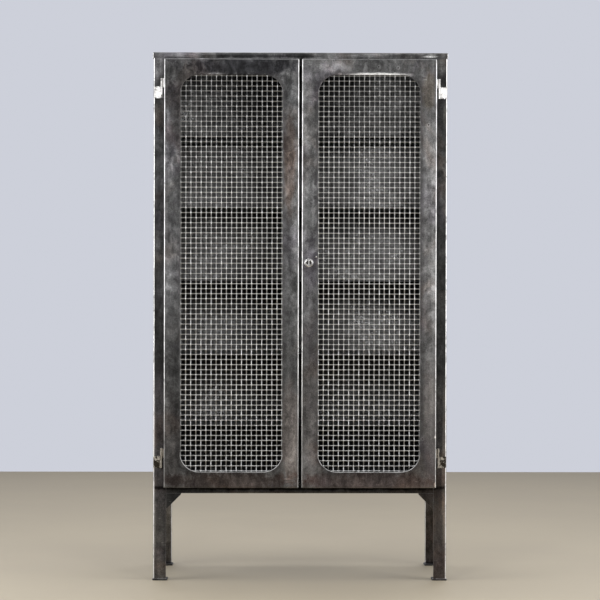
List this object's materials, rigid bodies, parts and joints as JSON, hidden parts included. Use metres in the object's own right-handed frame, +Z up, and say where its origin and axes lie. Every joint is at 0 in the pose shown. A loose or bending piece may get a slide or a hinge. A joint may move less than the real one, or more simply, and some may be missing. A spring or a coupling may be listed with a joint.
{
  "type": "medical cabinet",
  "caption": "Tall steel medical cabinet on angle legs, with hinged wire mesh doors, a turn lock, slide bolts and folded shelves for bottles and instruments.",
  "frame": {"origin": "on the floor under the middle of the cabinet", "axes": "+Z up, +X to the right seen from the front, +Y from the doors to the back"},
  "size_m": [0.9, 0.4, 1.61],
  "materials": {
    "bare_steel": "stripped and waxed sheet, cloudy grey",
    "dark_steel": "dark waxed steel",
    "wire_steel": "bare woven wire",
    "nickel": "worn nickel plate"
  },
  "bodies": {
    "case": {"post_front_left": "bare_steel", "post_front_right": "bare_steel", "post_rear_left": "bare_steel", "post_rear_right": "bare_steel", "foot_front_left": "dark_steel", "foot_front_right": "dark_steel", "foot_rear_left": "dark_steel", "foot_rear_right": "dark_steel", "top_cap": "bare_steel", "side_panel_left": "bare_steel", "side_panel_right": "bare_steel", "back_panel": "bare_steel", "bottom_pan": "bare_steel", "header_front": "bare_steel", "sill_front": "bare_steel", "sill_rear": "bare_steel", "gusset_left": "bare_steel", "gusset_right": "bare_steel", "shelf_1": "bare_steel", "shelf_2": "bare_steel", "shelf_3": "bare_steel", "shelf_4": "bare_steel", "shelf_5": "bare_steel", "runner_1_left": "dark_steel", "runner_1_right": "dark_steel", "runner_2_left": "dark_steel", "runner_2_right": "dark_steel", "runner_3_left": "dark_steel", "runner_3_right": "dark_steel", "runner_4_left": "dark_steel", "runner_4_right": "dark_steel", "runner_5_left": "dark_steel", "runner_5_right": "dark_steel", "hinge_post_leaf_left_upper": "bare_steel", "hinge_post_leaf_left_lower": "bare_steel", "hinge_post_leaf_right_upper": "bare_steel", "hinge_post_leaf_right_lower": "bare_steel", "hinge_pin_left_upper": "nickel", "hinge_pin_left_lower": "nickel", "hinge_pin_right_upper": "nickel", "hinge_pin_right_lower": "nickel"},
    "left_door": {"left_door_skin": "bare_steel", "left_mesh_panel": "wire_steel", "hinge_door_leaf_left_upper": "bare_steel", "hinge_door_leaf_left_lower": "bare_steel", "bolt_guide_upper": "dark_steel", "bolt_guide_lower": "dark_steel"},
    "right_door": {"right_door_skin": "bare_steel", "right_mesh_panel": "wire_steel", "hinge_door_leaf_right_upper": "bare_steel", "hinge_door_leaf_right_lower": "bare_steel", "lock_case": "dark_steel", "lock_rosette": "nickel", "mesh_rivet": "nickel"},
    "lock_plug": {"lock_plug": "nickel"},
    "lock_bolt": {"lock_bolt": "nickel"},
    "slide_bolt_upper": {"slide_bolt_upper": "dark_steel"},
    "slide_bolt_lower": {"slide_bolt_lower": "dark_steel"}
  },
  "joints": [
    {"name": "left_door_swing", "type": "hinge", "parent": "case", "child": "left_door", "pos_m": [-0.4222, -0.1794, 0.937], "axis": [0, 0, -1], "range_deg": [0, 115]},
    {"name": "right_door_swing", "type": "hinge", "parent": "case", "child": "right_door", "pos_m": [0.4222, -0.1794, 0.937], "axis": [0, 0, 1], "range_deg": [0, 115]},
    {"name": "lock_plug_turn", "type": "hinge", "parent": "right_door", "child": "lock_plug", "pos_m": [0.0258, -0.19, 0.97], "axis": [0, -1, 0], "range_deg": [0, 90]},
    {"name": "lock_bolt_slide", "type": "slide", "parent": "right_door", "child": "lock_bolt", "axis": [-1, 0, 0], "range_m": [0, 0.014]},
    {"name": "slide_bolt_upper_slide", "type": "slide", "parent": "left_door", "child": "slide_bolt_upper", "axis": [0, 0, 1], "range_m": [0, 0.02]},
    {"name": "slide_bolt_lower_slide", "type": "slide", "parent": "left_door", "child": "slide_bolt_lower", "axis": [0, 0, -1], "range_m": [0, 0.02]}
  ],
  "couplings": [
    {"joint": "lock_bolt_slide", "follows": "lock_plug_turn", "m_per_rad": 0.008912}
  ]
}
